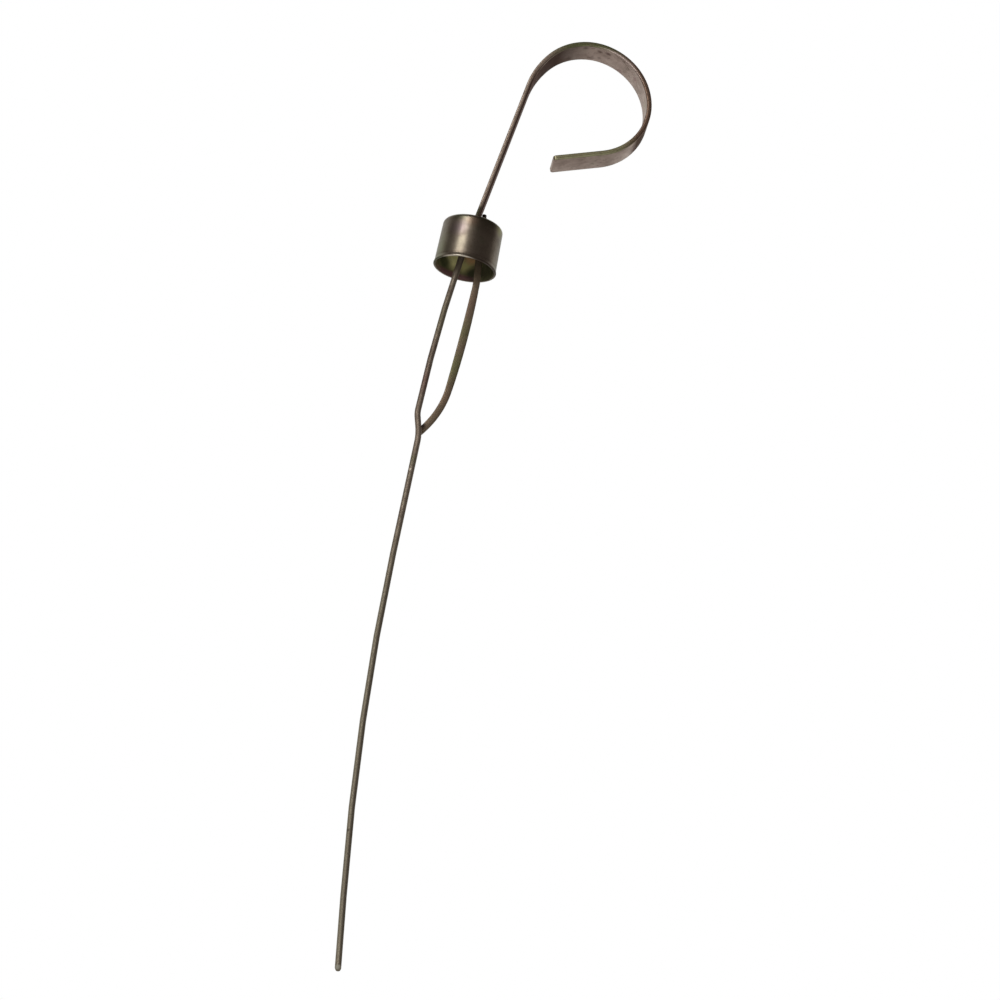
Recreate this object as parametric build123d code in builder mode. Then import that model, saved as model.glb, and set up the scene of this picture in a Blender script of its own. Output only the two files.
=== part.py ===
import os
from math import atan2, cos, radians, sin, tan

from build123d import *

os.makedirs("parts", exist_ok=True)

# Oil level gauge: crook handle, tube cap, dip rod and sprung leg.
# Origin at the centre of the cap's mouth, +Z up the cap's axis to the handle, +X to the hook's side.

# cap
cap_height = 17.1
cap_top_radius = 10.9
cap_taper = 0.3
lip_flare = 0.3
lip_height = 1.3
cap_wall = 0.8
shoulder_radius = 1.55

# crook handle, a bent flat strip
strip_width = 11.9
strip_thickness = 1.8
tang_x = 0.52
tang_width = 8.0
tang_reach = 8.4
foot_rise = 0.5
foot_bend_radius = 8.0
shank_lean = 8.7
shank_length = 56.0
crook_radius_1 = 30.0
crook_angle_1 = 28.2
crook_radius_2 = 20.4
crook_angle_2 = 63.5
crook_radius_3 = 23.4
crook_angle_3 = 68.4
crook_radius_4 = 20.3
crook_angle_4 = 81.4
tip_length = 18.4
tip_corner_radius = 1.0
slot_clearance = 0.1

# dip rod
rod_diameter = 2.2
rod_end_gap = 0.5
rod_upright = 6.8
splay_radius = 12.0
splay_angle = 6.5
splay_length = 4.6
bow_radius = 600.0
bow_angle = 5.7
kink_radius = 11.0
kink_angle = 16.1
kink_length = 3.4
return_radius = 22.0
return_angle = 15.6
rod_straight = 42.6
sweep_radius = 945.0
sweep_angle = 7.5
rod_tip_straight = 26.0
tip_cut_angle = 40.0

# sprung leg
leg_head_gap = 0.25
leg_shank_diameter = 1.2
leg_head_rim = 0.2
leg_head_height = 1.1
leg_head_radius = 0.5
leg_set = 0.29
leg_clearance = 0.09
leg_end_play = 0.08
leg_width = 2.5
leg_belly_swell = 0.25
leg_thickness = 1.5
leg_upright = 1.5
leg_splay_radius = 20.0
leg_splay_angle = 6.0
leg_splay_length = 14.9
leg_turn_radius = 34.6
leg_turn_angle = 6.4
leg_belly_radius = 477.0
leg_belly_angle = 4.8
leg_hook_radius = 34.8
leg_hook_angle = 28.4
leg_tip_length = 2.0
leg_pass_depth = 80.0
leg_pass_clearance = 0.38
leg_edge_radius = 0.35

# bush around the leg's shank
bush_wall = 0.35
bush_height = 4.1

# brazing
foot_bead_margin = 0.45
foot_bead_height = 2.0
foot_bead_taper = 8.0
rod_bead_length = 4.2
rod_bead_width = 4.8
rod_bead_height = 6.2
rod_bead_edge = 0.8

cap_mouth_radius = cap_top_radius + cap_taper
lip_radius = cap_mouth_radius + lip_flare
plate_z = cap_height - cap_wall
rod_radius = rod_diameter / 2
rod_x = tang_x - strip_thickness / 2 - rod_radius
rod_top = plate_z - rod_end_gap
tang_bottom = plate_z - tang_reach
foot_z = cap_height + foot_rise
leg_head_diameter = leg_shank_diameter + 2 * leg_head_rim
hole_radius = leg_shank_diameter / 2 + leg_clearance
bush_diameter = 2 * (hole_radius + bush_wall)
bush_top = cap_height + bush_height
head_seat = bush_top + leg_end_play
head_top = head_seat + leg_head_height
bend_end_z = foot_z + foot_bend_radius * sin(radians(shank_lean))
bend_end_x = tang_x + foot_bend_radius * (1 - cos(radians(shank_lean)))
strip_face_x = (
    bend_end_x
    + (head_top - bend_end_z) * tan(radians(shank_lean))
    + strip_thickness / 2 / cos(radians(shank_lean))
)
leg_x = strip_face_x + leg_head_gap + leg_head_diameter / 2
leg_root = plate_z - leg_end_play
leg_half = leg_width / 2
leg_pass_offset = rod_radius + leg_thickness / 2 + leg_pass_clearance
leg_lean = atan2(leg_pass_offset, leg_pass_depth)
leg_down = Vector(0, sin(leg_lean), -cos(leg_lean))
leg_plane = Plane((leg_x + leg_set, 0, leg_root), x_dir=(1, 0, 0), z_dir=(0, leg_down.Z, -leg_down.Y))
lip_inner_radius = lip_radius - cap_wall
cap_inner_top_radius = cap_top_radius - cap_wall
cap_inner_mouth_radius = cap_mouth_radius - cap_wall

# cap shell: drawn cup, mouth down, with a flared lip
with BuildPart() as cap_shell:
    with BuildSketch(Plane.XZ):
        with BuildLine():
            Line((0, plate_z), (0, cap_height))
            Line((0, cap_height), (cap_top_radius - shoulder_radius, cap_height))
            JernArc((cap_top_radius - shoulder_radius, cap_height), (1, 0), shoulder_radius, -90)
            Line((cap_top_radius, cap_height - shoulder_radius), (cap_mouth_radius, lip_height))
            Line((cap_mouth_radius, lip_height), (lip_radius, 0))
            Line((lip_radius, 0), (lip_inner_radius, 0))
            Line((lip_inner_radius, 0), (cap_inner_mouth_radius, lip_height))
            Line((cap_inner_mouth_radius, lip_height), (cap_inner_top_radius, cap_height - shoulder_radius))
            JernArc(
                (cap_inner_top_radius, cap_height - shoulder_radius),
                (0, 1),
                shoulder_radius - cap_wall,
                90,
            )
            Line((cap_top_radius - shoulder_radius, plate_z), (0, plate_z))
        make_face()
    revolve(axis=Axis.Z)
    with BuildSketch(Plane.XY.offset(plate_z)):
        with Locations((tang_x, 0)):
            Rectangle(strip_thickness + 2 * slot_clearance, tang_width + 2 * slot_clearance)
        with Locations((leg_x, 0)):
            Circle(hole_radius)
    extrude(amount=cap_wall, mode=Mode.SUBTRACT)
cap_shell.part.label = "cap_shell"
export_step(cap_shell.part, "parts/cap_shell.step")

# crook handle: flat strip with a tang through the cap's slot and shoulders on its top
with BuildPart() as crook_handle:
    with BuildLine(Plane.XZ):
        tang = Line((tang_x, tang_bottom), (tang_x, foot_z))
        foot_bend = JernArc(tang @ 1, tang % 1, foot_bend_radius, -shank_lean)
        shank = Line(foot_bend @ 1, foot_bend @ 1 + shank_length * (foot_bend % 1))
        bend_1 = JernArc(shank @ 1, shank % 1, crook_radius_1, -crook_angle_1)
        bend_2 = JernArc(bend_1 @ 1, bend_1 % 1, crook_radius_2, -crook_angle_2)
        bend_3 = JernArc(bend_2 @ 1, bend_2 % 1, crook_radius_3, -crook_angle_3)
        bend_4 = JernArc(bend_3 @ 1, bend_3 % 1, crook_radius_4, -crook_angle_4)
        tip = Line(bend_4 @ 1, bend_4 @ 1 + tip_length * (bend_4 % 1))
    with BuildSketch(Plane.XY.offset(tang_bottom)):
        with Locations((tang_x, 0)):
            Rectangle(strip_thickness, strip_width)
    sweep()
    with BuildSketch(Plane.XY.offset(cap_height)):
        with Locations((tang_x, 0)):
            Rectangle(2 * strip_thickness, 2 * strip_width)
            Rectangle(2 * strip_thickness, tang_width, mode=Mode.SUBTRACT)
    extrude(amount=-2 * tang_reach, mode=Mode.SUBTRACT)
    tip_end = tip @ 1
    tip_edges = crook_handle.edges().filter_by(lambda e: (e.center() - tip_end).length < strip_width)
    tip_corners = tip_edges.filter_by(lambda e: abs(e.length - strip_thickness) < 0.01)
    fillet(tip_corners, radius=tip_corner_radius)
crook_handle.part.label = "crook_handle"
export_step(crook_handle.part, "parts/crook_handle.step")

# dip rod: round wire beside the tang, splayed, kinked at the fork and swept to its sheared end
with BuildPart() as dip_rod:
    with BuildLine(Plane.XZ):
        upright = Line((rod_x, rod_top), (rod_x, rod_top - rod_upright))
        splay = JernArc(upright @ 1, upright % 1, splay_radius, -splay_angle)
        splay_run = Line(splay @ 1, splay @ 1 + splay_length * (splay % 1))
        bow = JernArc(splay_run @ 1, splay_run % 1, bow_radius, bow_angle)
        kink = JernArc(bow @ 1, bow % 1, kink_radius, kink_angle)
        kink_run = Line(kink @ 1, kink @ 1 + kink_length * (kink % 1))
        back = JernArc(kink_run @ 1, kink_run % 1, return_radius, -return_angle)
        straight = Line(back @ 1, back @ 1 + rod_straight * (back % 1))
        sweep_arc = JernArc(straight @ 1, straight % 1, sweep_radius, sweep_angle)
        rod_tip = Line(sweep_arc @ 1, sweep_arc @ 1 + rod_tip_straight * (sweep_arc % 1))
    with BuildSketch(Plane.XY.offset(rod_top)):
        with Locations((rod_x, 0)):
            Circle(rod_radius)
    sweep()
    cut_direction = (0, -sin(radians(tip_cut_angle)), -cos(radians(tip_cut_angle)))
    cut_point = rod_tip @ 1 + Vector(0, rod_radius, 0)
    with BuildSketch(Plane(cut_point, z_dir=cut_direction)):
        Rectangle(6 * rod_diameter, 6 * rod_diameter)
    extrude(amount=3 * rod_diameter, mode=Mode.SUBTRACT)
dip_rod.part.label = "dip_rod"
export_step(dip_rod.part, "parts/dip_rod.step")

# sprung leg: peened shank through the cap's top, flattened wire bowed down to the back of the rod
with BuildPart() as spring_leg:
    with BuildSketch(leg_plane):
        with BuildLine():
            outer_top = Line((leg_half, 0), (leg_half, -leg_upright))
            outer_splay = JernArc(outer_top @ 1, outer_top % 1, leg_splay_radius - leg_half, leg_splay_angle)
            outer_run = Line(outer_splay @ 1, outer_splay @ 1 + leg_splay_length * (outer_splay % 1))
            outer_turn = JernArc(outer_run @ 1, outer_run % 1, leg_turn_radius + leg_half, -leg_turn_angle)
            outer_belly = JernArc(
                outer_turn @ 1,
                outer_turn % 1,
                leg_belly_radius + leg_half,
                -leg_belly_angle,
                mode=Mode.PRIVATE,
            )
            outer_swell = outer_belly @ 0.5 + leg_belly_swell * Vector(1, 0, 0)
            ThreePointArc(outer_belly @ 0, outer_swell, outer_belly @ 1)
            outer_hook = JernArc(
                outer_belly @ 1,
                outer_belly % 1,
                leg_hook_radius + leg_half,
                -leg_hook_angle,
            )
            outer_tip = Line(outer_hook @ 1, outer_hook @ 1 + leg_tip_length * (outer_hook % 1))
            inner_top = Line((-leg_half, 0), (-leg_half, -leg_upright))
            inner_splay = JernArc(inner_top @ 1, inner_top % 1, leg_splay_radius + leg_half, leg_splay_angle)
            inner_run = Line(inner_splay @ 1, inner_splay @ 1 + leg_splay_length * (inner_splay % 1))
            inner_turn = JernArc(inner_run @ 1, inner_run % 1, leg_turn_radius - leg_half, -leg_turn_angle)
            inner_belly = JernArc(
                inner_turn @ 1,
                inner_turn % 1,
                leg_belly_radius - leg_half,
                -leg_belly_angle,
                mode=Mode.PRIVATE,
            )
            inner_swell = inner_belly @ 0.5 - leg_belly_swell * Vector(1, 0, 0)
            ThreePointArc(inner_belly @ 0, inner_swell, inner_belly @ 1)
            inner_hook = JernArc(
                inner_belly @ 1,
                inner_belly % 1,
                leg_hook_radius - leg_half,
                -leg_hook_angle,
            )
            inner_tip = Line(inner_hook @ 1, inner_hook @ 1 + leg_tip_length * (inner_hook % 1))
            Line(outer_top @ 0, inner_top @ 0)
            tip_middle = (outer_tip @ 1 + inner_tip @ 1) / 2
            ThreePointArc(outer_tip @ 1, tip_middle + leg_half * (outer_tip % 1), inner_tip @ 1)
        make_face()
    extrude(amount=leg_thickness / 2, both=True)
    long_edges = spring_leg.edges().filter_by(lambda e: abs(e.length - leg_thickness) > 0.01)
    low_edges = long_edges.filter_by(lambda e: e.center().Z < leg_root - 0.1)
    fillet(low_edges, radius=leg_edge_radius)
    with BuildSketch(Plane.XY.offset(leg_root - 0.3)):
        with Locations((leg_x, 0)):
            Circle(leg_shank_diameter / 2)
    extrude(amount=head_seat - leg_root + 0.6)
    with BuildSketch(Plane.XY.offset(head_seat)):
        with Locations((leg_x, 0)):
            Circle(leg_head_diameter / 2)
    extrude(amount=leg_head_height)
    fillet(spring_leg.edges().filter_by(GeomType.CIRCLE).sort_by(Axis.Z)[-1], radius=leg_head_radius)
spring_leg.part.label = "spring_leg"
export_step(spring_leg.part, "parts/spring_leg.step")

# bush: spacer tube brazed on the cap's top, the leg's shank runs through it
with BuildPart() as leg_bush:
    with BuildSketch(Plane.XY.offset(cap_height)):
        with Locations((leg_x, 0)):
            Circle(bush_diameter / 2)
            Circle(hole_radius, mode=Mode.SUBTRACT)
    extrude(amount=bush_height)
leg_bush.part.label = "leg_bush"
export_step(leg_bush.part, "parts/leg_bush.step")

# foot bead: braze run round the strip's foot on the cap's top
with BuildPart() as foot_bead:
    with BuildSketch(Plane.XY.offset(cap_height)):
        with Locations((tang_x, 0)):
            RectangleRounded(
                strip_thickness + 2 * foot_bead_margin,
                strip_width + 2 * foot_bead_margin,
                foot_bead_margin,
            )
    extrude(amount=foot_bead_height, taper=foot_bead_taper)
    add(crook_handle.part, mode=Mode.SUBTRACT)
    with BuildSketch(Plane.XY.offset(cap_height)):
        with Locations((leg_x, 0)):
            Circle(bush_diameter / 2)
    extrude(amount=bush_height, mode=Mode.SUBTRACT)
foot_bead.part.label = "foot_bead"
export_step(foot_bead.part, "parts/foot_bead.step")

# rod bead: braze that joins the rod's upper end to the tang under the cap's top
with BuildPart() as rod_bead:
    with BuildSketch(Plane.XY.offset(plate_z)):
        with Locations((rod_x, 0)):
            Ellipse(rod_bead_length / 2, rod_bead_width / 2)
    extrude(amount=-rod_bead_height)
    fillet(rod_bead.edges().sort_by(Axis.Z)[0], radius=rod_bead_edge)
    add(crook_handle.part, mode=Mode.SUBTRACT)
    add(dip_rod.part, mode=Mode.SUBTRACT)
rod_bead.part.label = "rod_bead"
export_step(rod_bead.part, "parts/rod_bead.step")
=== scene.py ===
import math

import bmesh
import bpy
from mathutils import Matrix, Vector


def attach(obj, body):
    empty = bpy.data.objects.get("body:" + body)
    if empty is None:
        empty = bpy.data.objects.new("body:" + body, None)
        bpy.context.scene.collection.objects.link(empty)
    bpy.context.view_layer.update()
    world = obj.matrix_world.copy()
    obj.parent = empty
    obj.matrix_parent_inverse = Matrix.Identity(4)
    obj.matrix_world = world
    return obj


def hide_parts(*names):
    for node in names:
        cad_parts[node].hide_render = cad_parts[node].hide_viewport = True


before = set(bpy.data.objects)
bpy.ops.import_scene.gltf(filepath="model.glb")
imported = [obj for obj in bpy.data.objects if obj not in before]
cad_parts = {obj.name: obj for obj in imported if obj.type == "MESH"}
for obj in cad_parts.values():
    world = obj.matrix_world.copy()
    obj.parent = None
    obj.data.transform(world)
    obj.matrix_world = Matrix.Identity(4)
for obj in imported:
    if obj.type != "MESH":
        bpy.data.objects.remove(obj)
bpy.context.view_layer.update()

mm = 0.001
weldGap = 0.002  # mm, points nearer than this are merged
sameLine = 0.01  # mm, points nearer than this count as level with each other


def deselectAll():
    if bpy.context.object and bpy.context.object.mode != "OBJECT":
        bpy.ops.object.mode_set(mode="OBJECT")
    bpy.ops.object.select_all(action="DESELECT")


def makeActive(obj):
    deselectAll()
    obj.select_set(True)
    bpy.context.view_layer.objects.active = obj


def enterEdit(obj):
    makeActive(obj)
    bpy.ops.object.mode_set(mode="EDIT")
    bpy.ops.mesh.select_mode(type="FACE")


def leaveEdit():
    bpy.ops.object.mode_set(mode="OBJECT")


def settle(obj):
    # place goes into the mesh, so the object sits at the origin
    makeActive(obj)
    bpy.ops.object.transform_apply(location=True, rotation=True, scale=True)


def applyAll(obj):
    makeActive(obj)
    for modifier in list(obj.modifiers):
        bpy.ops.object.modifier_apply(modifier=modifier.name)


def recalcOut(obj):
    enterEdit(obj)
    bpy.ops.mesh.select_all(action="SELECT")
    bpy.ops.mesh.remove_doubles(threshold=weldGap * mm)
    bpy.ops.mesh.normals_make_consistent(inside=False)
    leaveEdit()


def selectFaces(obj, test):
    # selects the faces whose normal passes the test
    bm = bmesh.from_edit_mesh(obj.data)
    for face in bm.faces:
        face.select_set(bool(test(face.normal)))
    bm.select_flush_mode()
    bmesh.update_edit_mesh(obj.data)


def selectEdges(obj, test):
    # selects the edges whose two ends pass the test
    bpy.ops.mesh.select_mode(type="EDGE")
    bm = bmesh.from_edit_mesh(obj.data)
    for face in bm.faces:
        face.select_set(False)
    for edge in bm.edges:
        a, b = (v.co for v in edge.verts)
        edge.select_set(bool(test(a, b)))
    bmesh.update_edit_mesh(obj.data)


def extrudeUp(height):
    # the selection is drawn out along Z, by a height in mm
    bpy.ops.mesh.extrude_region_move(TRANSFORM_OT_translate={"value": (0, 0, height * mm)})


def smoothByAngle(obj, degrees):
    makeActive(obj)
    bpy.ops.object.shade_smooth_by_angle(angle=math.radians(degrees))


def easeEdges(obj, width, segments, limit):
    ease = obj.modifiers.new("ease", "BEVEL")
    ease.width = width * mm
    ease.segments = segments
    ease.limit_method = "ANGLE"
    ease.angle_limit = math.radians(limit)
    applyAll(obj)


def roughen(obj, size, depth, middle=0.5):
    # lumps from a cloud pattern, pushed in and out along the normals
    clouds = bpy.data.textures.new(obj.name + "Clouds", "CLOUDS")
    clouds.noise_scale = size * mm
    clouds.noise_depth = 2
    lumps = obj.modifiers.new("lumps", "DISPLACE")
    lumps.texture = clouds
    lumps.texture_coords = "LOCAL"
    lumps.strength = depth * mm
    lumps.mid_level = middle
    applyAll(obj)


def joinInto(obj, *others):
    makeActive(obj)
    for other in others:
        other.select_set(True)
    bpy.ops.object.join()


def finishPiece(obj, body, slotName, materials, *nodes):
    kept = [p.material_index for p in obj.data.polygons]
    obj.data.materials.clear()
    for material in materials:
        obj.data.materials.append(material)
    obj.data.polygons.foreach_set("material_index", kept)
    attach(obj, body)
    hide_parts(*nodes)


def runStock(start, heading, runs, step, turnStep):
    # the selected end face is drawn out along straights and turned round arcs in the XZ plane
    # heading is in degrees from +Z towards +X
    # a run is ("line", length) or ("arc", radius, degrees)
    point = Vector((start[0], 0, start[1]))
    for run in runs:
        a = math.radians(heading)
        ahead = Vector((math.sin(a), 0, math.cos(a)))
        if run[0] == "line":
            count = max(1, round(run[1] / step))
            for i in range(count):
                bpy.ops.mesh.extrude_region_move(
                    TRANSFORM_OT_translate={"value": ahead * (run[1] / count * mm)})
            point = point + ahead * run[1]
        else:
            side = 1 if run[2] > 0 else -1
            right = Vector((math.cos(a), 0, -math.sin(a)))
            hub = point + right * side * run[1]
            count = max(3, round(abs(run[2]) / turnStep))
            bpy.ops.mesh.spin(
                steps=count, angle=-math.radians(run[2]), center=hub * mm, axis=(0, 1, 0))
            turn = Matrix.Rotation(math.radians(run[2]), 3, "Y")
            point = hub + turn @ (point - hub)
            heading += run[2]
    return point, heading


def plainNoise(nodes, links, vector, scale, detail, rough):
    noise = nodes.new("ShaderNodeTexNoise")
    noise.inputs["Scale"].default_value = scale
    noise.inputs["Detail"].default_value = detail
    noise.inputs["Roughness"].default_value = rough
    links.new(vector, noise.inputs["Vector"])
    return noise.outputs["Fac"]


def ramp(nodes, links, value, stops):
    tones = nodes.new("ShaderNodeValToRGB")
    elements = tones.color_ramp.elements
    while len(elements) < len(stops):
        elements.new(0.5)
    for element, (place, colour) in zip(elements, stops):
        element.position = place
        element.color = (*colour, 1)
    links.new(value, tones.inputs["Fac"])
    return tones.outputs["Color"]


def level(nodes, links, value, low, high, fromLow=0.3, fromHigh=0.7):
    scaled = nodes.new("ShaderNodeMapRange")
    scaled.inputs["From Min"].default_value = fromLow
    scaled.inputs["From Max"].default_value = fromHigh
    scaled.inputs["To Min"].default_value = low
    scaled.inputs["To Max"].default_value = high
    links.new(value, scaled.inputs["Value"])
    return scaled.outputs["Result"]


def blendColour(nodes, links, share, a, b):
    # a where the share is 0, b where it is 1; either may be a fixed colour
    blend = nodes.new("ShaderNodeMix")
    blend.data_type = "RGBA"
    links.new(share, blend.inputs[0])
    for socket, value in ((blend.inputs[6], a), (blend.inputs[7], b)):
        if isinstance(value, tuple):
            socket.default_value = (*value, 1)
        else:
            links.new(value, socket)
    return blend.outputs[2]


def spot(nodes, links, coord, place, near, far, weights=(1, 1, 1)):
    # 1 inside the near radius, 0 outside the far one
    # weights stretch the distance along X, Y and Z, and 0 leaves that direction out
    squeeze = nodes.new("ShaderNodeVectorMath")
    squeeze.operation = "MULTIPLY"
    squeeze.inputs[1].default_value = weights
    links.new(coord, squeeze.inputs[0])
    away = nodes.new("ShaderNodeVectorMath")
    away.operation = "DISTANCE"
    links.new(squeeze.outputs["Vector"], away.inputs[0])
    away.inputs[1].default_value = tuple(v * w * mm for v, w in zip(place, weights))
    return level(nodes, links, away.outputs["Value"], 1.0, 0.0, near * mm, far * mm)


def calculate(nodes, links, operation, *values):
    sums = nodes.new("ShaderNodeMath")
    sums.operation = operation
    for socket, value in zip(sums.inputs, values):
        if isinstance(value, float):
            socket.default_value = value
        else:
            links.new(value, socket)
    return sums.outputs["Value"]


def times(nodes, links, a, b):
    return calculate(nodes, links, "MULTIPLY", a, b)


def overlap(nodes, links, coord, one, other):
    # 1 only where both spots are
    return times(nodes, links, spot(nodes, links, coord, *one), spot(nodes, links, coord, *other))


def axisOf(nodes, links, coord, axis):
    split = nodes.new("ShaderNodeSeparateXYZ")
    links.new(coord, split.inputs["Vector"])
    return split.outputs[axis]


def edgeTone(nodes, links, coord, cloud, edge):
    # the strip's edge has its own browns and a stain, and a painted highlight: the bright line
    # given under worn
    tone = edge["brown"]
    for place, near, far, colour in edge["places"]:
        here = spot(nodes, links, coord, place, near, far, (1, 0, 1))
        tone = blendColour(nodes, links, here, tone, colour)
    tone = blendColour(nodes, links, level(nodes, links, cloud, 0.0, 0.45, 0.45, 0.65),
                       tone, edge["stain"])
    inner, limit, bright = edge["worn"]
    return blendColour(nodes, links, overlap(nodes, links, coord, inner, limit), tone, bright)


def shadeStrip(nodes, links, coord, cloud, finish, base, grazing):
    # shades darken the strip's faces only, and its edges take their own tone
    edge = finish["edge"]
    out = calculate(nodes, links, "ABSOLUTE", axisOf(nodes, links, coord, "Y"))
    rim = level(nodes, links, out, 0.0, 1.0, edge["from"] * mm, edge["to"] * mm)
    face = calculate(nodes, links, "SUBTRACT", 1.0, rim)
    for place, near, far, colour, much in finish["shades"]:
        here = spot(nodes, links, coord, place, near, far, (1, 0, 1))
        here = times(nodes, links, times(nodes, links, here, face), much)
        base = blendColour(nodes, links, here, base, colour)
        grazing = blendColour(nodes, links, here, grazing, finish["dullGrazing"])
    tone = edgeTone(nodes, links, coord, cloud, edge)
    return blendColour(nodes, links, rim, base, tone), grazing


def paintShadeOnSide(nodes, links, coord, finish, base, grazing):
    # painted shade on a side of the shank, brown, with a duller sheen: between two planes across
    # its normal, and fading out upwards
    side = finish["paintedShadeSide"]
    dot = nodes.new("ShaderNodeVectorMath")
    dot.operation = "DOT_PRODUCT"
    links.new(coord, dot.inputs[0])
    dot.inputs[1].default_value = side["normal"]
    across = dot.outputs["Value"]
    here = level(nodes, links, across, 0.0, 1.0, *(v * mm for v in side["starts"]))
    height = axisOf(nodes, links, coord, "Z")
    for value, reach in ((height, side["fadesUp"]), (across, side["ends"])):
        fade = level(nodes, links, value, 1.0, 0.0, *(v * mm for v in reach))
        here = times(nodes, links, here, fade)
    here = times(nodes, links, here, side["much"])
    return (blendColour(nodes, links, here, base, side["colour"]),
            blendColour(nodes, links, here, grazing, finish["dullGrazing"]))


def addBump(nodes, links, height, strength, depth, under=None):
    bump = nodes.new("ShaderNodeBump")
    bump.inputs["Strength"].default_value = strength
    bump.inputs["Distance"].default_value = depth * mm
    links.new(height, bump.inputs["Height"])
    if under:
        links.new(under, bump.inputs["Normal"])
    return bump.outputs["Normal"]


def tarnishAndPaintedLightMetal(name, finish):
    # worn plated steel: patches of brown and olive tarnish, fine drawn lines, small pits and
    # stains; placed marks add more, among them painted highlights, a painted pool of light and
    # painted shade, and a finish may add a painted shade on one side
    mat = bpy.data.materials.new(name)
    mat.use_nodes = True
    nodes, links = mat.node_tree.nodes, mat.node_tree.links
    shader = nodes["Principled BSDF"]
    coord = nodes.new("ShaderNodeTexCoord").outputs["Object"]
    stretch = nodes.new("ShaderNodeMapping")
    stretch.inputs["Scale"].default_value = finish["grain"]
    links.new(coord, stretch.inputs["Vector"])
    patches = plainNoise(nodes, links, coord, finish["patchScale"], 6, 0.6)
    cloud = plainNoise(nodes, links, coord, finish["patchScale"] * cloudRatio, 5, 0.65)
    lines = plainNoise(nodes, links, stretch.outputs["Vector"], 1.0, 4, 0.6)
    specks = plainNoise(nodes, links, coord, finish["speckScale"], 3, 0.5)
    base = ramp(nodes, links, patches, [
        (place, finish[tone]) for place, tone in zip(toneStops, ("dark", "mid", "light", "tint"))])
    for pattern, mix, limits, colour in ((cloud, "cloudMix", cloudLimits, "stain"),
                                         (specks, "speckMix", speckLimits, "speck"),
                                         (lines, "lineMix", lineLimits, "line")):
        share = level(nodes, links, pattern, 0.0, finish[mix], *limits)
        base = blendColour(nodes, links, share, base, finish[colour])
    grazing = (1.0, 1.0, 1.0)
    if "edge" in finish:
        base, grazing = shadeStrip(nodes, links, coord, cloud, finish, base, grazing)
    for place, near, far, weights, colour, much in finish.get("marks", []):
        here = spot(nodes, links, coord, place, near, far, weights)
        base = blendColour(nodes, links, times(nodes, links, here, much), base, colour)
    for one, other, colour, much in finish.get("paintedShadeHalves", []):
        here = overlap(nodes, links, coord, one, other)
        base = blendColour(nodes, links, times(nodes, links, here, much), base, colour)
    if "paintedShadeSide" in finish:
        base, grazing = paintShadeOnSide(nodes, links, coord, finish, base, grazing)
    links.new(base, shader.inputs["Base Color"])
    if "dullGrazing" in finish:
        links.new(grazing, shader.inputs["Specular Tint"])
    shader.inputs["Metallic"].default_value = finish.get("metal", 1.0)
    links.new(level(nodes, links, cloud, *finish["rough"]), shader.inputs["Roughness"])
    grainNormal = addBump(nodes, links, lines, finish["bump"], grainDepth)
    links.new(addBump(nodes, links, specks, finish["pitBump"], pitDepth, grainNormal),
              shader.inputs["Normal"])
    return mat


# what all the finishes share
cloudRatio = 3.1  # how much finer the stains are than the patches
toneStops = (0.32, 0.47, 0.60, 0.72)
cloudLimits, speckLimits, lineLimits = (0.45, 0.7), (0.60, 0.68), (0.35, 0.65)
grainDepth, pitDepth = 0.05, 0.06  # mm

# each mark: place in mm, full inside, none outside, weights, colour, how much
# a shade is a mark without weights, on the strip's faces only
# each of the painted shade halves colours only where its two spots overlap
capFinish = {
    "dark": (0.185, 0.158, 0.130), "mid": (0.262, 0.232, 0.192), "light": (0.305, 0.270, 0.228),
    "tint": (0.250, 0.255, 0.190), "stain": (0.150, 0.118, 0.100), "speck": (0.130, 0.115, 0.075),
    "line": (0.34, 0.30, 0.26), "patchScale": 120, "speckScale": 1100,
    "cloudMix": 0.5, "speckMix": 0.35, "lineMix": 0.20, "grain": (60, 60, 2200),
    "rough": (0.27, 0.37), "bump": 0.12, "pitBump": 0.08,
    "marks": [
        ((2.6, -10, 14.8), 0.8, 5.6, (1, 1, 1), (0.120, 0.108, 0.075), 0.60),
        ((1.4, -9.0, 17.2), 1.6, 4.4, (1, 1, 1.6), (0.085, 0.085, 0.055), 0.85),
        ((6.2, -8.0, 17.0), 2.4, 5.6, (1, 1, 1.6), (0.100, 0.098, 0.062), 0.80),
        ((9.4, -5, 15.4), 0.6, 3.4, (1, 1, 1), (0.40, 0.41, 0.20), 0.60),
        ((-0.6, -10, 14.4), 0.5, 3.0, (1, 1, 1), (0.300, 0.200, 0.150), 0.65),
        ((-5.2, -9.6, 11.2), 0.8, 4.4, (1, 1, 1.2), (0.300, 0.240, 0.270), 0.65),
        ((-6.4, -9.0, 16.2), 0.8, 4.0, (1, 1, 1.6), (0.150, 0.165, 0.100), 0.70),
        ((-10.2, -5.0, 3.5), 1.0, 6.0, (1, 1, 0.7), (0.300, 0.330, 0.215), 0.55),
        ((-3.6, -10.5, 5.2), 0.6, 2.8, (1, 1, 0.8), (0.290, 0.270, 0.215), 0.45),
        ((0, 0, 1.75), 3.6, 6.0, (0, 0, 24), (0.19, 0.16, 0.13), 0.55),
        ((8.6, -8.0, 0.0), 6.0, 9.5, (1, 1, 14), (0.100, 0.078, 0.066), 0.85),
        ((-11.0, -3.0, 0.0), 3.0, 6.5, (1, 1, 14), (0.120, 0.130, 0.080), 0.80),
        # painted highlight on the lip, under the cap's bright streak
        ((-3.9, -10.8, -0.1), 3.6, 6.4, (1, 1, 14), (0.92, 0.88, 0.78), 0.95)],
}
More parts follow.
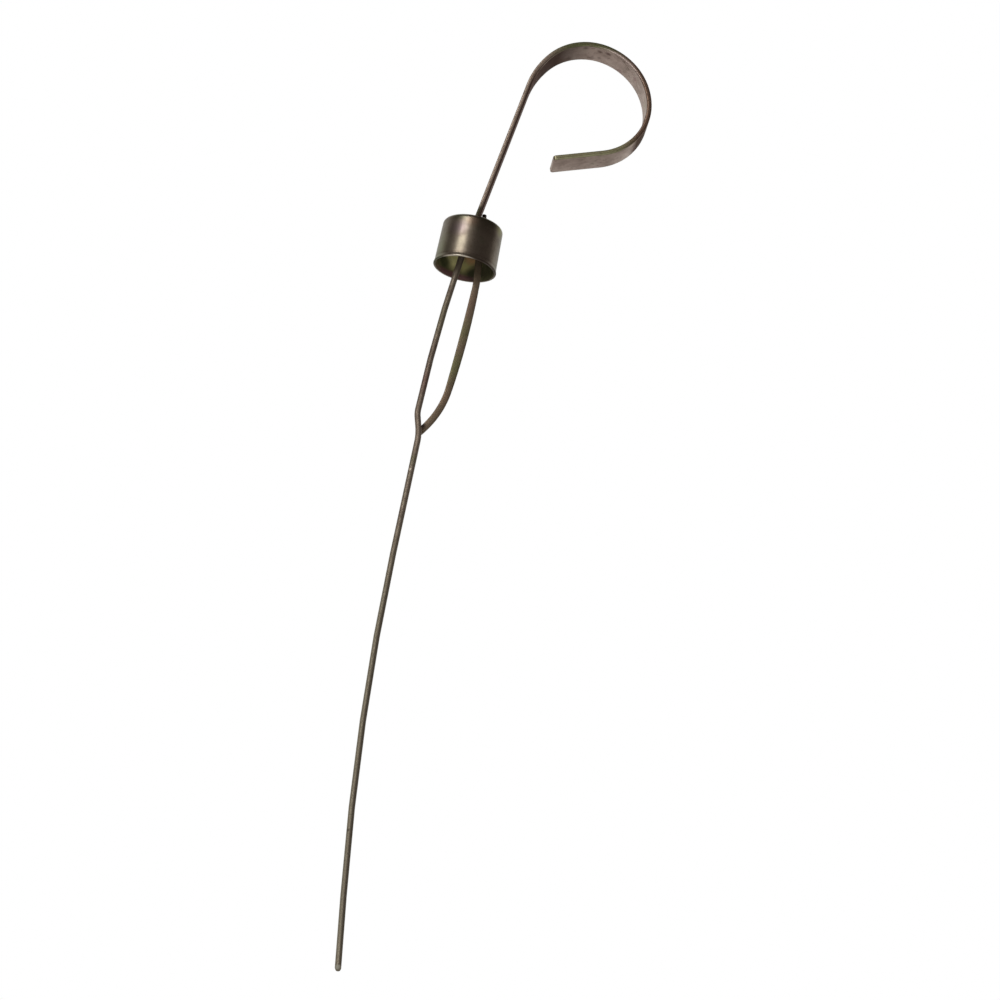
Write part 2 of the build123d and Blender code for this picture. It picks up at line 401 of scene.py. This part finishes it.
innerFinish = {
    "dark": (0.110, 0.112, 0.055), "mid": (0.205, 0.198, 0.090), "light": (0.270, 0.262, 0.120),
    "tint": (0.240, 0.185, 0.095), "stain": (0.115, 0.085, 0.065), "speck": (0.120, 0.115, 0.060),
    "line": (0.40, 0.38, 0.20), "patchScale": 150, "speckScale": 1100,
    "cloudMix": 0.5, "speckMix": 0.4, "lineMix": 0.15, "grain": (60, 60, 1800),
    "rough": (0.40, 0.56), "bump": 0.15, "pitBump": 0.15,
    "metal": 0.15,
    "marks": [
        # the first mark is a painted pool of light on the far inside wall
        ((-4.6, 9.9, 6.8), 1.8, 4.2, (1, 0.5, 0.9), (0.96, 0.92, 0.46), 0.95),
        ((0.3, 10.2, 5.4), 0.8, 3.2, (1, 0.5, 1), (0.56, 0.53, 0.23), 0.90),
        ((2.0, 10.0, 9.0), 1.4, 3.4, (1, 0.5, 1), (0.66, 0.42, 0.21), 0.95),
        ((-8.0, 8.2, 4.2), 1.6, 4.0, (1, 0.5, 1), (0.060, 0.070, 0.028), 0.90),
        ((3.8, 9.8, 2.4), 1.8, 4.0, (1, 0.5, 1), (0.040, 0.044, 0.022), 0.90),
        ((9.6, 6.0, 5.4), 3.2, 6.4, (1, 0.5, 0.7), (0.060, 0.060, 0.034), 0.85),
        ((-3.6, 10, 0.6), 2.4, 5.2, (0.5, 0.3, 2.6), (0.190, 0.075, 0.100), 0.80)],
}
stripFinish = {
    "dark": (0.420, 0.330, 0.290), "mid": (0.570, 0.455, 0.410), "light": (0.660, 0.540, 0.495),
    "tint": (0.520, 0.470, 0.370), "stain": (0.300, 0.225, 0.195), "speck": (0.240, 0.170, 0.140),
    "line": (0.68, 0.57, 0.52), "patchScale": 110, "speckScale": 620,
    "cloudMix": 0.45, "speckMix": 0.55, "lineMix": 0.20, "grain": (60, 1900, 60),
    "rough": (0.36, 0.50), "bump": 0.12, "pitBump": 0.12,
    "edge": {"from": 5.34, "to": 5.62, "brown": (0.45, 0.375, 0.325),
             "stain": (0.23, 0.175, 0.14),
             # worn holds a painted highlight, a bright line along the edge at the crook's top right
             "worn": (((30.52, 0, 72.44), 22.8, 23.5, (1, 0, 1)), ((40.5, 0, 90), 5, 11, (1, 0, 1)),
                      (0.62, 0.52, 0.50)),
             "places": [((27, 0, 103), 12, 21, (0.21, 0.23, 0.12)),
                        ((55, 0, 76), 17, 28, (0.27, 0.185, 0.145)),
                        ((37, 0, 49), 12, 20, (0.46, 0.46, 0.29))]},
    "dullGrazing": (0.42, 0.37, 0.36),
    "shades": [((12, 0, 84), 8, 21, (0.085, 0.062, 0.055), 0.93),
               ((53.8, 0, 66.3), 4.2, 7.6, (0.12, 0.085, 0.065), 0.95)],
    # painted shade: the right side of the shank darker and duller, fading out towards the crook
    "paintedShadeSide": {"normal": (0.9885, 0, -0.1513), "starts": (-2.25, -1.75), "ends": (2, 5),
                 "fadesUp": (74, 84), "colour": (0.17, 0.115, 0.10), "much": 0.92},
    "marks": [
        ((1.2, -5.9, 19.2), 2.4, 5.6, (1, 1, 1), (0.060, 0.060, 0.036), 0.95),
        ((18.6, 2.4, 90.3), 0.6, 2.2, (1, 1, 1), (0.16, 0.115, 0.095), 0.7),
        ((21.3, 3.4, 92.2), 0.5, 1.8, (1, 1, 1), (0.17, 0.12, 0.10), 0.7),
        ((26.8, -4.1, 94.4), 0.3, 1.5, (1, 1, 1), (0.17, 0.12, 0.10), 0.75),
        ((29.7, 3.7, 94.8), 0.4, 1.6, (1, 1, 1), (0.24, 0.17, 0.15), 0.7),
        ((32.3, -2.6, 94.8), 0.3, 1.3, (1, 1, 1), (0.16, 0.10, 0.09), 0.8),
        ((35.3, -3.2, 94.4), 0.4, 1.5, (1, 1, 1), (0.18, 0.11, 0.10), 0.8),
        ((32.6, 2.2, 94.8), 0.2, 1.0, (1, 1, 1), (0.22, 0.15, 0.13), 0.7),
        ((43.6, -2.0, 90.8), 0.3, 1.3, (1, 1, 1), (0.25, 0.19, 0.15), 0.7),
        ((41.0, 4.0, 92.4), 0.4, 1.5, (1, 1, 1), (0.34, 0.20, 0.20), 0.7),
        ((41.5, -4.4, 92.1), 0.3, 1.3, (1, 1, 1), (0.22, 0.15, 0.12), 0.7),
        ((46.9, -0.8, 87.9), 0.4, 1.6, (1, 1, 1), (0.36, 0.20, 0.20), 0.65),
        ((51.6, 2.2, 61.8), 0.5, 1.6, (1, 1, 1), (0.26, 0.15, 0.16), 0.7),
        ((38.6, -1.0, 52.0), 0.2, 0.9, (1, 1, 1), (0.24, 0.17, 0.14), 0.6)],
}
rodFinish = {
    "dark": (0.190, 0.148, 0.122), "mid": (0.300, 0.250, 0.208), "light": (0.365, 0.315, 0.265),
    "tint": (0.290, 0.275, 0.195), "stain": (0.150, 0.110, 0.092), "speck": (0.120, 0.092, 0.070),
    "line": (0.40, 0.35, 0.30), "patchScale": 110, "speckScale": 900,
    "cloudMix": 0.6, "speckMix": 0.45, "lineMix": 0.20, "grain": (1500, 1500, 60),
    "rough": (0.56, 0.68), "bump": 0.10, "pitBump": 0.14,
    # painted shade on the right side of the lower rod
    "paintedShadeHalves": [(((940.9, 0, -116.3), 944.7, 945.8, (1, 0, 1)), ((0, 0, -190), 60, 95, (0, 0, 1)),
                (0.215, 0.185, 0.150), 0.8)],
    # the first mark lies over the lower rod: partly its own greener grey, partly painted light
    "marks": [((0, 0, -190), 60.0, 95.0, (0, 0, 1), (0.480, 0.460, 0.365), 0.75),
              ((6.6, -0.7, -259.8), 0.6, 1.5, (1, 1, 1), (0.80, 0.84, 0.76), 0.9),
              # painted highlights: a small glint on the rod's front left, and a lighter band below
              # the fork
              ((-4.4, -1.1, -79.6), 0.25, 0.7, (1, 1, 1), (0.85, 0.80, 0.70), 0.8),
              ((0, 0, -62.5), 4.0, 13.0, (0, 0, 1), (0.47, 0.40, 0.34), 0.5),
              ((-5.0, 0, -46.0), 1.5, 6.0, (0.3, 0, 1), (0.26, 0.165, 0.15), 0.6),
              ((0, 0, -20.0), 3.0, 10.0, (0, 0, 1), (0.31, 0.30, 0.21), 0.5),
              ((0.3, -1.1, -212.3), 0.3, 0.9, (1, 1, 1), (0.09, 0.07, 0.055), 0.8)],
}
springFinish = {
    "dark": (0.185, 0.145, 0.105), "mid": (0.250, 0.200, 0.148), "light": (0.300, 0.240, 0.182),
    "tint": (0.215, 0.215, 0.130), "stain": (0.195, 0.130, 0.100), "speck": (0.135, 0.105, 0.075),
    "line": (0.32, 0.26, 0.20), "patchScale": 70, "speckScale": 900,
    "cloudMix": 0.5, "speckMix": 0.45, "lineMix": 0.20, "grain": (1500, 1500, 60),
    "rough": (0.44, 0.56), "bump": 0.10, "pitBump": 0.16,
    "marks": [((3.12, 0, 22.0), 1.2, 1.8, (1, 1, 1), (0.055, 0.050, 0.040), 0.9),
              ((3.9, 0, -23.6), 1.0, 6.5, (1, 0, 1), (0.200, 0.215, 0.105), 0.55),
              ((3.6, 0, -37.5), 1.5, 7.5, (1, 0, 1), (0.200, 0.225, 0.105), 0.65),
              ((4.8, 0, -12.5), 1.0, 6.0, (1, 0, 1), (0.265, 0.185, 0.145), 0.60),
              ((2.4, 0, -50.0), 1.0, 5.0, (1, 0, 1), (0.280, 0.195, 0.140), 0.50),
              # painted shadow where the leg's toe passes behind the rod
              ((-3.2, 0, -61.8), 0.5, 1.7, (1, 0, 1), (0.040, 0.030, 0.026), 0.92)],
}
brazeFinish = {
    "dark": (0.060, 0.056, 0.038), "mid": (0.115, 0.108, 0.078), "light": (0.210, 0.196, 0.150),
    "tint": (0.160, 0.140, 0.080), "stain": (0.050, 0.045, 0.030), "speck": (0.036, 0.030, 0.020),
    "line": (0.22, 0.21, 0.18), "patchScale": 420, "speckScale": 1800,
    "cloudMix": 0.6, "speckMix": 0.5, "lineMix": 0.15, "grain": (700, 700, 700),
    "rough": (0.36, 0.60), "bump": 0.30, "pitBump": 0.30,
}

capMetal = tarnishAndPaintedLightMetal("capMetal", capFinish)
innerMetal = tarnishAndPaintedLightMetal("innerMetal", innerFinish)
stripMetal = tarnishAndPaintedLightMetal("stripMetal", stripFinish)
rodMetal = tarnishAndPaintedLightMetal("rodMetal", rodFinish)
springMetal = tarnishAndPaintedLightMetal("springMetal", springFinish)
brazeMetal = tarnishAndPaintedLightMetal("brazeMetal", brazeFinish)
print("finishes made")

up, down = 0, 180  # headings, degrees

# what several pieces share, in mm as in all the dictionaries below
capTop = 17.1
stripX = 0.52  # the strip's shank, its slot in the cap and the braze at its foot
shankX, shankBore = 3.12, 0.69  # the leg's shank, and the hole and bush that it stands in

crook = {
    "start": (stripX, 7.9), "thick": 1.8, "tangWide": 8.0, "wide": 11.9, "tang": 9.2,
    "runs": [("line", 0.5), ("arc", 8.0, 8.7), ("line", 56.0), ("arc", 30.0, 28.2),
             ("arc", 20.4, 63.5), ("arc", 23.4, 68.4), ("arc", 20.3, 81.4), ("line", 18.4)],
    "step": 1.6, "turn": 2.5, "easedEdge": 0.60,
    "cornerRound": 1.0, "cornerSteps": 5, "cornerReach": 0.1,
}


def makeCrook():
    deselectAll()
    x, z = crook["start"]
    bpy.ops.mesh.primitive_plane_add(size=1, location=(x * mm, 0, z * mm))
    strip = bpy.context.object
    strip.name = "crookStrip"
    strip.scale = (crook["thick"] * mm, crook["tangWide"] * mm, 1)
    settle(strip)
    enterEdit(strip)
    bpy.ops.mesh.select_all(action="SELECT")
    extrudeUp(crook["tang"])
    shoulder = z + crook["tang"]
    extrudeUp(0)
    bpy.ops.transform.resize(value=(1, crook["wide"] / crook["tangWide"], 1),
                             center_override=(x * mm, 0, shoulder * mm))
    end = runStock((x, shoulder), up, crook["runs"], crook["step"], crook["turn"])[0]

    def tipCorner(a, b):
        middle = (a + b) / 2
        tip = Vector((end.x * mm, middle.y, end.z * mm))
        return (abs(a.y - b.y) < sameLine * mm
                and (middle - tip).length < crook["cornerReach"] * mm)

    selectEdges(strip, tipCorner)
    bpy.ops.mesh.bevel(offset=crook["cornerRound"] * mm, segments=crook["cornerSteps"],
                       affect="EDGES")
    leaveEdit()
    recalcOut(strip)
    easeEdges(strip, crook["easedEdge"], 5, 50)
    smoothByAngle(strip, 40)
    finishPiece(strip, "gauge", "strip_steel", [stripMetal], "crook_handle")
    return strip


crookStrip = makeCrook()
print("crook made")

cup = {
    "height": capTop, "topRadius": 10.9, "shoulder": 1.55, "shoulderSteps": 8, "wall": 0.8,
    "sides": 144, "rings": (7.5, 5.5, 3.5), "rimReach": 0.05, "mouthRadius": 11.2, "wallSteps": 10,
    "wallLow": 2.0, "rimRound": 0.22,
    "lip": [(11.19, 1.62), (11.21, 1.3), (11.29, 0.95), (11.40, 0.5), (11.46, 0.2), (11.48, 0.0)],
    "mouthSquash": 0.988, "squashBelow": 12, "squashBeyond": 11,
    "slot": (stripX, 2.0, 8.2), "legHole": (shankX, shankBore), "holeSides": 40,
    "cutMiddle": 16.7, "cutDeep": 4,
}


def cupProfile():
    # radius and height, from the flat top over the shoulder and down to the flared lip
    rim, wallTop = cup["topRadius"] - cup["shoulder"], cup["height"] - cup["shoulder"]
    profile = []
    for i in range(1, cup["shoulderSteps"] + 1):
        a = math.radians(90 * i / cup["shoulderSteps"])
        profile.append((rim + cup["shoulder"] * math.sin(a),
                        cup["height"] - cup["shoulder"] * (1 - math.cos(a))))
    for i in range(1, cup["wallSteps"] + 1):
        t = i / cup["wallSteps"]
        profile.append((cup["topRadius"] + (cup["mouthRadius"] - cup["topRadius"]) * t,
                        wallTop + (cup["wallLow"] - wallTop) * t))
    return profile + cup["lip"]


def squashAt(radius, height):
    # the mouth is a little flatter from front to back, and less so higher up
    if radius <= cup["squashBeyond"]:
        return 1
    return 1 - (1 - cup["mouthSquash"]) * max(0, 1 - height / cup["squashBelow"])


def cutAway(obj, tool):
    settle(tool)
    cut = obj.modifiers.new("cut", "BOOLEAN")
    cut.operation = "DIFFERENCE"
    cut.object = tool
    applyAll(obj)
    bpy.data.objects.remove(tool)


def makeCup():
    deselectAll()
    rim = cup["topRadius"] - cup["shoulder"]
    bpy.ops.mesh.primitive_circle_add(vertices=cup["sides"], radius=rim * mm, fill_type="NGON",
                                      location=(0, 0, cup["height"] * mm))
    shell = bpy.context.object
    shell.name = "tubeCup"
    settle(shell)
    enterEdit(shell)
    bpy.ops.mesh.select_all(action="SELECT")
    for outer, inner in zip((rim, *cup["rings"]), cup["rings"]):
        bpy.ops.mesh.inset(thickness=(outer - inner) * mm)
    selectEdges(shell, lambda a, b: (
        min(a.xy.length, b.xy.length) > (rim - cup["rimReach"]) * mm))
    lastRadius, lastHeight = rim, cup["height"]
    for radius, height in cupProfile():
        extrudeUp(height - lastHeight)
        grow = radius / lastRadius
        flatten = squashAt(radius, height) / squashAt(lastRadius, lastHeight)
        bpy.ops.transform.resize(value=(grow, grow * flatten, 1),
                                 center_override=(0, 0, height * mm))
        lastRadius, lastHeight = radius, height
    leaveEdit()
    recalcOut(shell)
    wall = shell.modifiers.new("wall", "SOLIDIFY")
    wall.thickness = cup["wall"] * mm
    wall.offset = -1
    wall.use_even_offset = True
    wall.material_offset = 1  # the inside takes the second material
    shell.data.materials.append(capMetal)
    shell.data.materials.append(innerMetal)
    applyAll(shell)
    easeEdges(shell, cup["rimRound"], 3, 55)
    x, wide, deep = cup["slot"]
    deselectAll()
    bpy.ops.mesh.primitive_cube_add(size=1, location=(x * mm, 0, cup["cutMiddle"] * mm))
    bpy.context.object.scale = (wide * mm, deep * mm, cup["cutDeep"] * mm)
    cutAway(shell, bpy.context.object)
    x, radius = cup["legHole"]
    deselectAll()
    bpy.ops.mesh.primitive_cylinder_add(
        vertices=cup["holeSides"], radius=radius * mm, depth=cup["cutDeep"] * mm,
        location=(x * mm, 0, cup["cutMiddle"] * mm))
    cutAway(shell, bpy.context.object)
    smoothByAngle(shell, 32)
    finishPiece(shell, "gauge", "cap_steel", [capMetal, innerMetal], "cap_shell")
    return shell


tubeCup = makeCup()
print("cap made")

rod = {
    "start": (-1.48, 15.8), "radius": 1.1, "sides": 32,
    "runs": [("line", 6.8), ("arc", 12.0, 6.5), ("line", 4.6), ("arc", 600.0, -5.7),
             ("arc", 11.0, -16.1), ("line", 3.4), ("arc", 22.0, 15.6), ("line", 42.6),
             ("arc", 945.0, -7.5), ("line", 26.0)],
    "step": 2.0, "turn": 2.0, "cutAngle": 40.0, "cutEase": 0.12,
}


def makeRod():
    deselectAll()
    x, z = rod["start"]
    bpy.ops.mesh.primitive_circle_add(vertices=rod["sides"], radius=rod["radius"] * mm,
                                      fill_type="NGON", location=(x * mm, 0, z * mm))
    wire = bpy.context.object
    wire.name = "dipWire"
    settle(wire)
    enterEdit(wire)
    bpy.ops.mesh.select_all(action="SELECT")
    end = runStock((x, z), down, rod["runs"], rod["step"], rod["turn"])[0]
    # the end is cut off on a slant
    a = math.radians(rod["cutAngle"])
    bpy.ops.mesh.select_all(action="SELECT")
    bpy.ops.mesh.bisect(plane_co=(end.x * mm, rod["radius"] * mm, end.z * mm),
                        plane_no=(0, -math.sin(a), -math.cos(a)), use_fill=True, clear_outer=True)
    leaveEdit()
    recalcOut(wire)
    easeEdges(wire, rod["cutEase"], 2, 40)
    smoothByAngle(wire, 35)
    finishPiece(wire, "gauge", "rod_steel", [rodMetal], "dip_rod")
    return wire


dipWire = makeRod()
print("rod made")

leg = {
    "x": 3.41, "root": 16.22, "wide": 2.5, "thick": 1.5, "lean": 1.5967, "step": 1.6, "turn": 2.5,
    "runs": [("line", 1.5), ("arc", 20.0, -6.0), ("line", 14.9), ("arc", 34.6, 6.4)],
    "belly": {"radius": 477.0, "angle": 4.8, "swell": 0.25, "fullness": 0.8, "steps": 24},
    "hook": [("arc", 34.8, 28.4), ("line", 3.25)],
    "tipReach": 1.3, "tipRound": 1.2, "tipSteps": 8, "easedEdge": 0.35,
    "shankRadius": 0.6, "shankSunk": 0.3, "shankInHead": 0.6, "seat": 21.28,
    "headRadius": 0.8, "headHeight": 1.1, "headEase": 0.42, "headVoxel": 0.07, "headWorn": 9,
    "sides": 32, "peeningSize": 0.55, "peening": 0.10,
}


def makeBlade():
    deselectAll()
    bpy.ops.mesh.primitive_plane_add(size=1, location=(leg["x"] * mm, 0, leg["root"] * mm))
    blade = bpy.context.object
    blade.name = "springLeg"
    blade.scale = (leg["wide"] * mm, leg["thick"] * mm, 1)
    settle(blade)
    enterEdit(blade)
    bpy.ops.mesh.select_all(action="SELECT")
    start, step, turn = (leg["x"], leg["root"]), leg["step"], leg["turn"]
    point, heading = runStock(start, down, leg["runs"], step, turn)
    # the belly swells a little towards its middle
    belly = leg["belly"]
    count, half, was = belly["steps"], leg["wide"] / 2, 0.0
    stretch = [("arc", belly["radius"], belly["angle"] / count)]
    for i in range(1, count + 1):
        rise = math.sin(math.pi * i / count) ** belly["fullness"] if i < count else 0.0
        now = belly["swell"] * rise
        point, heading = runStock((point.x, point.z), heading, stretch, step, turn)
        bpy.ops.transform.resize(value=((half + now) / (half + was), 1, 1),
                                 center_override=point * mm)
        was = now
    point, heading = runStock((point.x, point.z), heading, leg["hook"], step, turn)

    def tipCorner(a, b):
        return (abs(a.y - b.y) > 0.1 * mm
                and abs(a.x - b.x) < sameLine * mm and abs(a.z - b.z) < sameLine * mm
                and (Vector((a.x, 0, a.z)) - point * mm).length < leg["tipReach"] * mm)

    selectEdges(blade, tipCorner)
    bpy.ops.mesh.bevel(offset=leg["tipRound"] * mm, segments=leg["tipSteps"], affect="EDGES")
    leaveEdit()
    recalcOut(blade)
    easeEdges(blade, leg["easedEdge"], 4, 50)
    # leaned back so that it passes behind the rod
    lean = Matrix.Rotation(math.radians(leg["lean"]), 4, "X")
    root = Vector((leg["x"], 0, leg["root"])) * mm
    blade.matrix_world = Matrix.Translation(root) @ lean @ Matrix.Translation(-root)
    settle(blade)
    return blade


def addPost(radius, low, high):
    # an upright cylinder on the shank's axis
    deselectAll()
    bpy.ops.mesh.primitive_cylinder_add(
        vertices=leg["sides"], radius=radius * mm, depth=(high - low) * mm,
        location=(shankX * mm, 0, (low + high) / 2 * mm))
    post = bpy.context.object
    settle(post)
    return post


def makeLeg():
    blade = makeBlade()
    shank = addPost(leg["shankRadius"], leg["root"] - leg["shankSunk"],
                    leg["seat"] + leg["shankInHead"])
    # the head is worn round and hammered
    head = addPost(leg["headRadius"], leg["seat"], leg["seat"] + leg["headHeight"])
    head.name = "peenedHead"
    easeEdges(head, leg["headEase"], 5, 50)
    finer = head.modifiers.new("finer", "REMESH")
    finer.mode = "VOXEL"
    finer.voxel_size = leg["headVoxel"] * mm
    applyAll(head)
    worn = head.modifiers.new("worn", "SMOOTH")
    worn.iterations = leg["headWorn"]
    applyAll(head)
    roughen(head, leg["peeningSize"], leg["peening"])
    joinInto(blade, shank, head)
    smoothByAngle(blade, 40)
    finishPiece(blade, "spring", "spring_steel", [springMetal], "spring_leg")
    return blade


springLeg = makeLeg()
print("leg made")

bush = {"outer": 1.04, "height": 4.1, "ease": 0.12, "sides": 40, "slices": 12}
footBead = {"x": stripX, "across": 2.7, "along": 12.8, "bottom": capTop, "height": 2.0,
            "topShare": 0.86, "lumpSize": 0.8, "lumps": 0.26}
rodBead = {"x": -1.42, "across": 4.2, "along": 4.8, "bottom": 10.1, "height": 6.2,
           "topShare": 1.0, "lumpSize": 1.4, "lumps": 0.36}
brazing = {"cuts": 5, "corner": 0.5, "levels": 2, "sunk": 0.75}  # the same for both beads


def makeBush():
    deselectAll()
    bpy.ops.mesh.primitive_circle_add(vertices=bush["sides"], radius=shankBore * mm,
                                      fill_type="NOTHING",
                                      location=(shankX * mm, 0, capTop * mm))
    tube = bpy.context.object
    tube.name = "legBush"
    settle(tube)
    enterEdit(tube)
    bpy.ops.mesh.select_mode(type="EDGE")
    bpy.ops.mesh.select_all(action="SELECT")
    for i in range(bush["slices"]):
        extrudeUp(bush["height"] / bush["slices"])
    leaveEdit()
    recalcOut(tube)
    wall = tube.modifiers.new("wall", "SOLIDIFY")
    wall.thickness = (bush["outer"] - shankBore) * mm
    wall.offset = 1
    applyAll(tube)
    recalcOut(tube)
    easeEdges(tube, bush["ease"], 3, 50)
    smoothByAngle(tube, 40)
    finishPiece(tube, "gauge", "cap_steel", [capMetal], "leg_bush")
    return tube


def makeBead(name, bead, node):
    # a lumpy run of braze: a box rounded by subdivision, then roughened
    deselectAll()
    middle = bead["bottom"] + bead["height"] / 2
    bpy.ops.mesh.primitive_cube_add(size=1, location=(bead["x"] * mm, 0, middle * mm))
    blob = bpy.context.object
    blob.name = name
    blob.scale = (bead["across"] * mm, bead["along"] * mm, bead["height"] * mm)
    settle(blob)
    enterEdit(blob)
    selectFaces(blob, lambda normal: normal.z > 0.9)
    bpy.ops.transform.resize(value=(bead["topShare"], (1 + bead["topShare"]) / 2, 1))
    bpy.ops.mesh.select_all(action="SELECT")
    bpy.ops.mesh.subdivide(number_cuts=brazing["cuts"])
    leaveEdit()
    easeEdges(blob, brazing["corner"], 2, 50)
    finer = blob.modifiers.new("finer", "SUBSURF")
    finer.levels = brazing["levels"]
    applyAll(blob)
    roughen(blob, bead["lumpSize"], bead["lumps"], brazing["sunk"])
    smoothByAngle(blob, 60)
    finishPiece(blob, "gauge", "braze", [brazeMetal], node)
    return blob


legBush = makeBush()
footRun = makeBead("footRun", footBead, "foot_bead")
rodRun = makeBead("rodRun", rodBead, "rod_bead")
print("bush and braze made")

studio = {
    "floorZ": -750, "floorSize": 8000, "floorColour": (0.82, 0.81, 0.79), "floorRough": 0.8,
    "skyShown": (1.0, 1.0, 1.0), "behind": 0.60, "front": 0.085, "fade": (-0.04, 0.48),
    "frontTone": (1.0, 0.83, 0.73), "behindTone": (1.0, 0.985, 0.93),
    # the camera's angles in degrees, and where the origin lies right of and above its line of sight
    "elevation": 20.27, "azimuth": -2.33, "roll": 11.4, "distance": 1433.69,
    "originRight": -12.699, "originUp": 82.846, "lens": 144, "sensor": 36,
    # name, azimuth and elevation in degrees, distance and size in metres, power, colour
    "lamps": [("windowLight", -33, 20, 1.6, (0.72, 0.9), 7, (1.0, 0.96, 0.88)),
              ("windowGlow", -34, 20, 1.64, (2.4, 1.3), 1.6, (1.0, 0.90, 0.80)),
              ("topSoft", -140, 60, 1.6, (1.0, 1.0), 0.9, (1.0, 1.0, 1.0)),
              ("lowBounce", -5, -30, 1.1, (1.0, 0.4), 1.8, (1.0, 0.98, 0.92)),
              ("paperGlow", -172, -15, 1.9, (1.6, 0.42), 0.6, (1.0, 0.95, 0.93))],
}


def makeFloor():
    deselectAll()
    bpy.ops.mesh.primitive_plane_add(size=studio["floorSize"] * mm,
                                     location=(0, 0, studio["floorZ"] * mm))
    floor = bpy.context.object
    floor.name = "studioFloor"
    pale = bpy.data.materials.new("paleFloor")
    pale.use_nodes = True
    shader = pale.node_tree.nodes["Principled BSDF"]
    shader.inputs["Base Color"].default_value = (*studio["floorColour"], 1)
    shader.inputs["Roughness"].default_value = studio["floorRough"]
    floor.data.materials.append(pale)


def makeWorld():
    # reflections see a room that is dim in front and pale behind, the camera sees plain white
    world = bpy.data.worlds.new("studioWorld")
    world.use_nodes = True
    bpy.context.scene.world = world
    nodes, links = world.node_tree.nodes, world.node_tree.links
    back = nodes["Background"]
    coord = nodes.new("ShaderNodeTexCoord").outputs["Generated"]
    depth = axisOf(nodes, links, coord, "Y")
    room = nodes.new("ShaderNodeBackground")
    strength = level(nodes, links, depth, studio["front"], studio["behind"], *studio["fade"])
    links.new(strength, room.inputs["Strength"])
    share = level(nodes, links, depth, 0.0, 1.0, *studio["fade"])
    tone = blendColour(nodes, links, share, studio["frontTone"], studio["behindTone"])
    links.new(tone, room.inputs["Color"])
    back.inputs["Color"].default_value = (*studio["skyShown"], 1)
    back.inputs["Strength"].default_value = 1.0
    path = nodes.new("ShaderNodeLightPath")
    mix = nodes.new("ShaderNodeMixShader")
    links.new(path.outputs["Is Camera Ray"], mix.inputs[0])
    links.new(room.outputs["Background"], mix.inputs[1])
    links.new(back.outputs["Background"], mix.inputs[2])
    links.new(mix.outputs["Shader"], nodes["World Output"].inputs["Surface"])
    bpy.context.scene.view_settings.view_transform = "Standard"


def addArea(name, azimuth, elevation, distance, size, power, colour):
    # azimuth 0 is the camera's side, positive towards +X; every lamp faces the origin
    a, e = math.radians(azimuth), math.radians(elevation)
    away = Vector((math.sin(a) * math.cos(e), -math.cos(a) * math.cos(e), math.sin(e)))
    data = bpy.data.lights.new(name, "AREA")
    data.shape = "RECTANGLE"
    data.size, data.size_y = size
    data.energy = power
    data.color = colour
    lamp = bpy.data.objects.new(name, data)
    bpy.context.scene.collection.objects.link(lamp)
    lamp.location = away * distance
    lamp.rotation_euler = (-away).to_track_quat("-Z", "Y").to_euler()


def makeCamera():
    # a positive elevation looks up at the object from below
    e, a, r = (math.radians(studio[k]) for k in ("elevation", "azimuth", "roll"))
    ahead = Vector((-math.sin(a) * math.cos(e), math.cos(a) * math.cos(e), math.sin(e)))
    side = ahead.cross(Vector((0, 0, 1))).normalized()
    upright = side.cross(ahead)
    right = side * math.cos(r) + upright * math.sin(r)
    above = upright * math.cos(r) - side * math.sin(r)
    place = -(right * studio["originRight"] + above * studio["originUp"]
              + ahead * studio["distance"]) * mm
    data = bpy.data.cameras.new("studioCamera")
    data.sensor_width = studio["sensor"]
    data.lens = studio["lens"]
    data.clip_start, data.clip_end = 0.05, 30
    camera = bpy.data.objects.new("studioCamera", data)
    bpy.context.scene.collection.objects.link(camera)
    turn = Matrix((right, above, -ahead)).transposed()
    camera.matrix_world = Matrix.Translation(place) @ turn.to_4x4()
    bpy.context.scene.camera = camera


makeFloor()
makeWorld()
for lamp in studio["lamps"]:
    addArea(*lamp)
makeCamera()
print("studio made")
